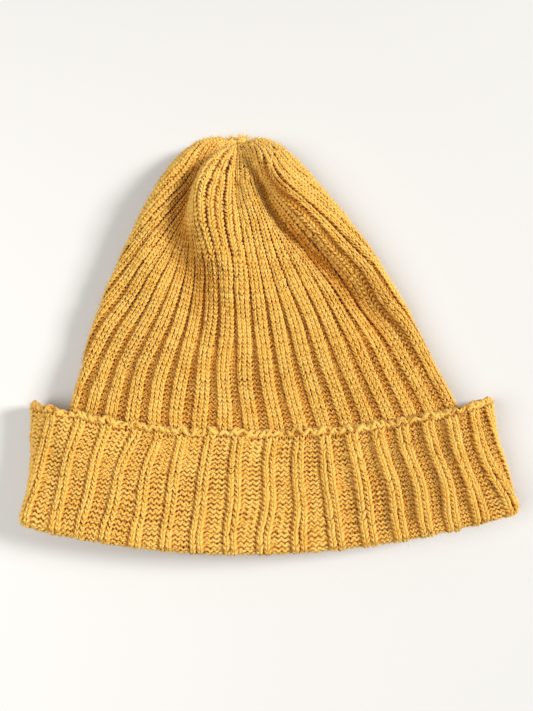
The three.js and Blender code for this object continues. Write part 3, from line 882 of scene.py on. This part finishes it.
# %% Shells
def shell(name, wall, relief, rows, columns):
    """A closed loop of rings. A row of the table gives a ring's height and depth under the wall.

    The ribs' relief is added times its third column. It is negative inside, where each rib of the
    outside is a furrow. The value run counts the rows of stitches along the wall."""
    rib = np.arange(RIBS * columns) / columns - RIBS / 2
    shape = (len(rows), len(rib))
    up, depth, ribbed = (np.array(column)[:, None] for column in zip(*rows))
    points, outward = read_wall(wall, ("points", "normals"), up, np.broadcast_to(rib, shape))
    off = ribbed * relief(up, rib[None]) - depth
    points = points + outward * off[..., None]
    points[..., 2] = np.maximum(points[..., 2], 0.1)
    tall, wide = shape
    i, j = np.indices(shape)
    i1, j1 = (i + 1) % tall, (j + 1) % wide
    index = np.stack([i * wide + j, i * wide + j1, i1 * wide + j1, i1 * wide + j], axis=2)
    u0, u1, v0, v1 = j / wide, (j + 1) / wide, i / tall, (i + 1) / tall
    corners = np.stack([u0, v0, u1, v0, u1, v1, u0, v1], axis=2).reshape(-1, 2)
    thing = new_object(name, points.reshape(-1, 3), [index.reshape(-1, 4)], corners)
    # Painted shade: the backing wall under the loops gets the deep colour of the gaps; the inside
    # gets less.
    add_values(thing, "depth", np.broadcast_to(np.where(ribbed > 0, 1.1, 0.35), shape))
    run = np.cumsum(np.linalg.norm(np.diff(points[:, 0], axis=0, prepend=points[:1, 0]), axis=1))
    add_values(thing, "run", np.broadcast_to(run[:, None] / ROW, shape))
    return thing


UNDER = 0.75
INSIDE = -0.4
body_rows = [(up, UNDER, 1.0) for up in np.arange(SEAM_UP + 0.5, 213, 3.0)]
body_rows += [(216.5, 0.4, 0.3)]
body_rows += [(up, WALL, INSIDE) for up in np.arange(207, SEAM_UP + 0.5, -6.0)]
body_rows += [(SEAM_UP + 0.5, WALL, INSIDE)]
crown_shell = shell("crown_shell", body_wall, body_relief, body_rows, 6)

turn_top = FOLD_RADIUS * (1 - np.pi)
cuff_rows = [(up, UNDER, 1.0) for up in np.arange(turn_top - 6, CUFF_HEIGHT - 1, 1.5)]
cuff_rows += [(CUFF_HEIGHT, WALL / 2, 0.5)]
cuff_rows += [(up, WALL, INSIDE) for up in np.arange(CUFF_HEIGHT - 1, FOLD_RADIUS, -6.0)]
cuff_rows += [(up, WALL, INSIDE) for up in np.linspace(FOLD_RADIUS, turn_top - 6, 8)]
cuff_shell = shell("cuff_shell", cuff_wall, cuff_relief, cuff_rows, 6)
print("both shells have", count_triangles([crown_shell, cuff_shell]))

# %% [markdown]
# ## The gathered tip
#
# The last stitches are drawn together by the yarn's own end. It is tied off in two small lumps
# between the crown's lobes, and they have gone woolly.

# %% Tip
TIE_AT = np.array([-17.9, 106.2, 6.9])
LUMPS = table("x y wide long thick", [[-2.9, 2.2, 3.2, 2.4, 3.2], [2.5, 2.3, 3.6, 2.8, 3.4]])


def random_units(count):
    """Directions spread evenly over a sphere."""
    return unit(rng.normal(0, 1, (count, 3)))


def lump_shape(lump):
    """The centre of one lump and its three half sizes."""
    at = {name: LUMPS[name][lump] for name in LUMPS}
    return TIE_AT + np.array([at["x"], at["y"], 0]), np.array([at["wide"], at["long"], at["thick"]])


def lump_strands(lump, count, samples):
    """Strands wound round one lump: tilted rings, each point at centre + size * direction."""
    turn = 2 * np.pi * np.linspace(0, 1, samples)[None, :, None]
    one = random_units(count)[:, None]
    other = unit(np.cross(one, random_units(count)[:, None]))
    way = np.cos(turn) * one + np.sin(turn) * other
    centre, size = lump_shape(lump)
    paths = centre + way * (size - 0.4)
    return paths, way, np.full((count, samples), 0.72), np.full((count, samples), -0.5)


def lump_fibres(lump, count):
    """Loose fibres that leave one lump, mostly away from the brim."""
    s = np.linspace(0, 1, 4)[None, :, None]
    way = random_units(count)[:, None]
    way[..., 1] = np.abs(way[..., 1])
    centre, size = lump_shape(lump)
    long = rng.uniform(1.0, 3.0, (count, 1, 1))
    bend = random_units(count)[:, None]
    paths = centre + way * size + long * (way * s + 0.6 * bend * s * s)
    radii = 0.16 * (1 - 0.75 * s[..., 0]) * np.ones((count, 1))
    return paths, np.cross(way, bend) + np.zeros_like(paths), radii, np.full(radii.shape, -1.0)


tie_groups = [lump_strands(lump, 9, 17) for lump in (0, 1)]
tie_groups += [lump_fibres(lump, 110) for lump in (0, 1)]
tie = tubes("crown_tie_knot", tie_groups, 4)
print("the knot has", count_triangles([tie]))

# %% [markdown]
# ## Loose fibres
#
# Wool is never smooth: fine fibres stand off the yarn and blur its outline. A hair system would be
# slow and is no mesh. These are short three-sided slivers, with more of them where the wall turns
# away from the viewer, because that is where they show.


# %% Fibres
def fibres(wall, relief, low, high, count, long):
    """Slivers on a wall between two heights. Each leans away from the normal and curls a little.

    With s from 0 to 1, a sliver is start + length * (0.5 normal s + 0.6 across s + curl s s)."""
    up = rng.uniform(low, high, 30 * count)
    rib = rng.uniform(-RIBS / 2, RIBS / 2, 30 * count)
    points, outward, pitch = read_wall(wall, ("points", "normals", "pitch"), up, rib)
    worth = 0.12 + (1 - np.abs(outward[:, 2])) ** 2
    worth = np.where(outward[:, 2] < -0.5, 0.01, worth) * pitch
    chosen = rng.choice(len(up), count, replace=False, p=worth / worth.sum())
    points, outward = points[chosen, None], outward[chosen, None]
    start = points + outward * (relief(up[chosen], rib[chosen]) + 0.45)[:, None, None]
    across = unit(np.cross(outward, random_units(count)[:, None]))
    curl = 0.5 * random_units(count)[:, None]
    s = np.linspace(0, 1, 3)[None, :, None]
    length = long * rng.uniform(0.5, 1.3, (count, 1, 1))
    paths = start + length * (0.5 * outward * s + 0.6 * across * s + curl * s * s)
    radii = 0.075 * (1 - 0.7 * s[..., 0]) * np.ones((count, 1))
    return paths, outward + np.zeros_like(paths), radii, np.full(radii.shape, -0.8)


crown_fibres = [
    fibres(body_wall, body_relief, 56, 215, 4200, 3.0),
    fibres(body_wall, body_relief, 192, 216, 700, 3.4),
]
cuff_fibres = [
    fibres(cuff_wall, cuff_relief, -3, CUFF_HEIGHT, 2400, 2.8),
    fibres(cuff_wall, cuff_relief, CUFF_HEIGHT - 3, CUFF_HEIGHT + 1, 900, 2.6),
]
fuzz = [tubes("crown_fuzz", crown_fibres, 3), tubes("cuff_fuzz", cuff_fibres, 3)]
print("all fibres have", count_triangles(fuzz))

# %% [markdown]
# ## Colours and fibres
#
# The wool is golden where the light falls on it. In the gaps a deep orange-brown is painted in as
# shade, because light that gets in there has met the yellow wool several times. The depth that each
# vertex carries steers this painted shade. Fine noise makes the fibres, and a wider noise makes the
# dye uneven. The inside has no loops, so its wool gets rows of knitted bumps from the shell's own
# map, with painted shade between them.


# %% Material
def feed(tree, socket, value):
    """Set a socket to a value, or link it where the value is another node's output."""
    if isinstance(value, bpy.types.NodeSocket):
        tree.links.new(value, socket)
    else:
        socket.default_value = value


def add_node(tree, kind, **inputs):
    """A shader node with some of its inputs fed."""
    made = tree.nodes.new(kind)
    for name, value in inputs.items():
        feed(tree, made.inputs[name.replace("_", " ")], value)
    return made


def add_math(tree, operation, *values):
    """The output of a math node on some values."""
    made = tree.nodes.new("ShaderNodeMath")
    made.operation = operation
    for socket, value in zip(made.inputs, values):
        feed(tree, socket, value)
    return made.outputs[0]


def add_mix(tree, factor, first, second):
    """The output of a node that mixes two colours."""
    made = tree.nodes.new("ShaderNodeMix")
    made.data_type = "RGBA"
    for name, value in (("Factor", factor), ("A", first), ("B", second)):
        feed(tree, made.inputs[name], value)
    return made.outputs["Result"]


def wool(name, light, shade, deep, bump):
    """Wool of three colours: dye patches between light and shade, and painted shade by depth to deep.
    """
    material = bpy.data.materials.new(name)
    material.use_nodes = True
    tree = material.node_tree
    place = add_node(tree, "ShaderNodeTexCoord").outputs["Object"]
    patches = add_node(tree, "ShaderNodeTexNoise", Vector=place, Scale=130, Detail=3, Roughness=0.6)
    fibres = add_node(tree, "ShaderNodeTexNoise", Vector=place, Scale=1500, Detail=4, Roughness=0.7)
    fine = fibres.outputs["Fac"]
    dye = add_math(tree, "MULTIPLY_ADD", patches.outputs["Fac"], 1.3, fine)
    spread = add_node(tree, "ShaderNodeMapRange", Value=dye, From_Min=0.8, From_Max=1.5)
    top = add_mix(tree, spread.outputs[0], (*shade, 1), (*light, 1))

    # The depth attribute steers painted shade: the deeper, the nearer the colour is to deep.
    depth = tree.nodes.new("ShaderNodeAttribute")
    depth.name = "depth"
    depth.attribute_name = "depth"
    sink = add_node(tree, "ShaderNodeMapRange", Value=depth.outputs["Fac"], From_Min=0.16, From_Max=1)
    sink.name = "sink"
    relief = add_node(tree, "ShaderNodeBump", Strength=bump, Distance=0.0004, Height=fine)
    looks = {
        "Base Color": add_mix(tree, sink.outputs[0], top, (*deep, 1)),
        "Normal": relief.outputs["Normal"],
        "Roughness": 0.88, "Specular IOR Level": 0.25,
        "Sheen Weight": 0.35, "Sheen Roughness": 0.45, "Sheen Tint": (1, 0.85, 0.6, 1),
    }
    for socket, value in looks.items():
        feed(tree, tree.nodes["Principled BSDF"].inputs[socket], value)
    return material


def knit_inside(material):
    """Rows of small bumps in place of loops: sin(rows along + 1.3 * sin(stitches round))."""
    tree = material.node_tree
    flat = tree.nodes.new("ShaderNodeUVMap")
    flat.uv_map = "OFBake"
    split = add_node(tree, "ShaderNodeSeparateXYZ", Vector=flat.outputs["UV"])
    rows = tree.nodes.new("ShaderNodeAttribute")
    rows.attribute_name = "run"
    along = add_math(tree, "MULTIPLY", rows.outputs["Fac"], 2 * math.pi)
    turned = add_math(tree, "MULTIPLY", split.outputs["X"], 2 * math.pi * RIBS * 5)
    sway = add_math(tree, "MULTIPLY", add_math(tree, "SINE", turned), 1.3)
    bumps = add_math(tree, "SINE", add_math(tree, "ADD", along, sway))
    loops = add_node(tree, "ShaderNodeBump", Strength=1, Distance=0.0009, Height=bumps)
    fine = tree.nodes["Principled BSDF"].inputs["Normal"].links[0].from_node
    feed(tree, fine.inputs["Normal"], loops.outputs["Normal"])
    # Painted shade: the colour deepens between the knitted bumps and lightens on them.
    sink = tree.nodes["sink"]
    sink.inputs["From Min"].default_value = 0.1
    shift = add_math(tree, "MULTIPLY", bumps, -0.25)
    depth = tree.nodes["depth"].outputs["Fac"]
    feed(tree, sink.inputs["Value"], add_math(tree, "ADD", depth, shift))


# In each palette, deep is the colour of painted shade; light and shade are two tones of the dye.
GOLD = {"light": (0.97, 0.68, 0.175), "shade": (0.86, 0.49, 0.08), "deep": (0.53, 0.19, 0.005)}
PALE = {"light": (0.97, 0.7, 0.2), "shade": (0.88, 0.54, 0.1), "deep": (0.62, 0.28, 0.02)}
yarn = wool("golden_wool", **GOLD, bump=0.6)
pale = wool("pale_wool", **PALE, bump=0.7)
inner = wool("inner_wool", **GOLD, bump=0.6)
knit_inside(inner)
print("materials:", yarn.name, pale.name, inner.name)

# %% [markdown]
# ## Where each piece belongs
#
# The hat is all cloth, so every piece rides on its one body. The shells and the knot stand for
# the plain solids.

# %% Bodies
pieces = knitting + fuzz + [crown_shell, cuff_shell, tie]
for thing in pieces:
    thing.data.materials.append(yarn)
    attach(thing, "root")
for thing in fuzz + [tie]:
    thing.data.materials[0] = pale
for thing in (crown_shell, cuff_shell):
    thing.data.materials[0] = inner
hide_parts("crown")
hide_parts("cuff")
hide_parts("crown_tie")
print("all pieces have", count_triangles(pieces))

# %% [markdown]
# ## Floor and light
#
# A pale floor, a large soft window far on the right, a weak one near on the left, and a dim sky.

# %% Studio
floor_mesh = bpy.data.meshes.new("floor")
HALF = 3.0
corners = [(-HALF, -HALF, 0), (HALF, -HALF, 0), (HALF, HALF, 0), (-HALF, HALF, 0)]
floor_mesh.from_pydata(corners, [], [(0, 1, 2, 3)])
floor = bpy.data.objects.new("floor", floor_mesh)
bpy.context.scene.collection.objects.link(floor)
floor_paint = bpy.data.materials.new("floor_paint")
floor_paint.use_nodes = True
floor_shader = floor_paint.node_tree.nodes["Principled BSDF"]
floor_shader.inputs["Base Color"].default_value = (0.72, 0.72, 0.72, 1)
floor_shader.inputs["Roughness"].default_value = 0.9
floor_mesh.materials.append(floor_paint)


DAYLIGHT = (1, 0.98, 0.94)


def window(name, at, size, power):
    """A square soft light that faces the hat."""
    light = bpy.data.lights.new(name, "AREA")
    light.size = size
    light.energy = power
    light.color = DAYLIGHT
    lamp = bpy.data.objects.new(name, light)
    bpy.context.scene.collection.objects.link(lamp)
    lamp.location = at
    lamp.rotation_euler = (-lamp.location).to_track_quat("-Z", "Y").to_euler()


window("window_right", at=(2.3, 0.35, 1.4), size=0.7, power=89)
window("window_left", at=(-0.5, -0.15, 0.6), size=0.5, power=4)
sky = bpy.data.worlds.new("sky")
sky.use_nodes = True
sky.node_tree.nodes["Background"].inputs["Color"].default_value = (1, 0.975, 0.94, 1)
sky.node_tree.nodes["Background"].inputs["Strength"].default_value = 0.28
bpy.context.scene.world = sky
bpy.context.scene.view_settings.view_transform = "Standard"
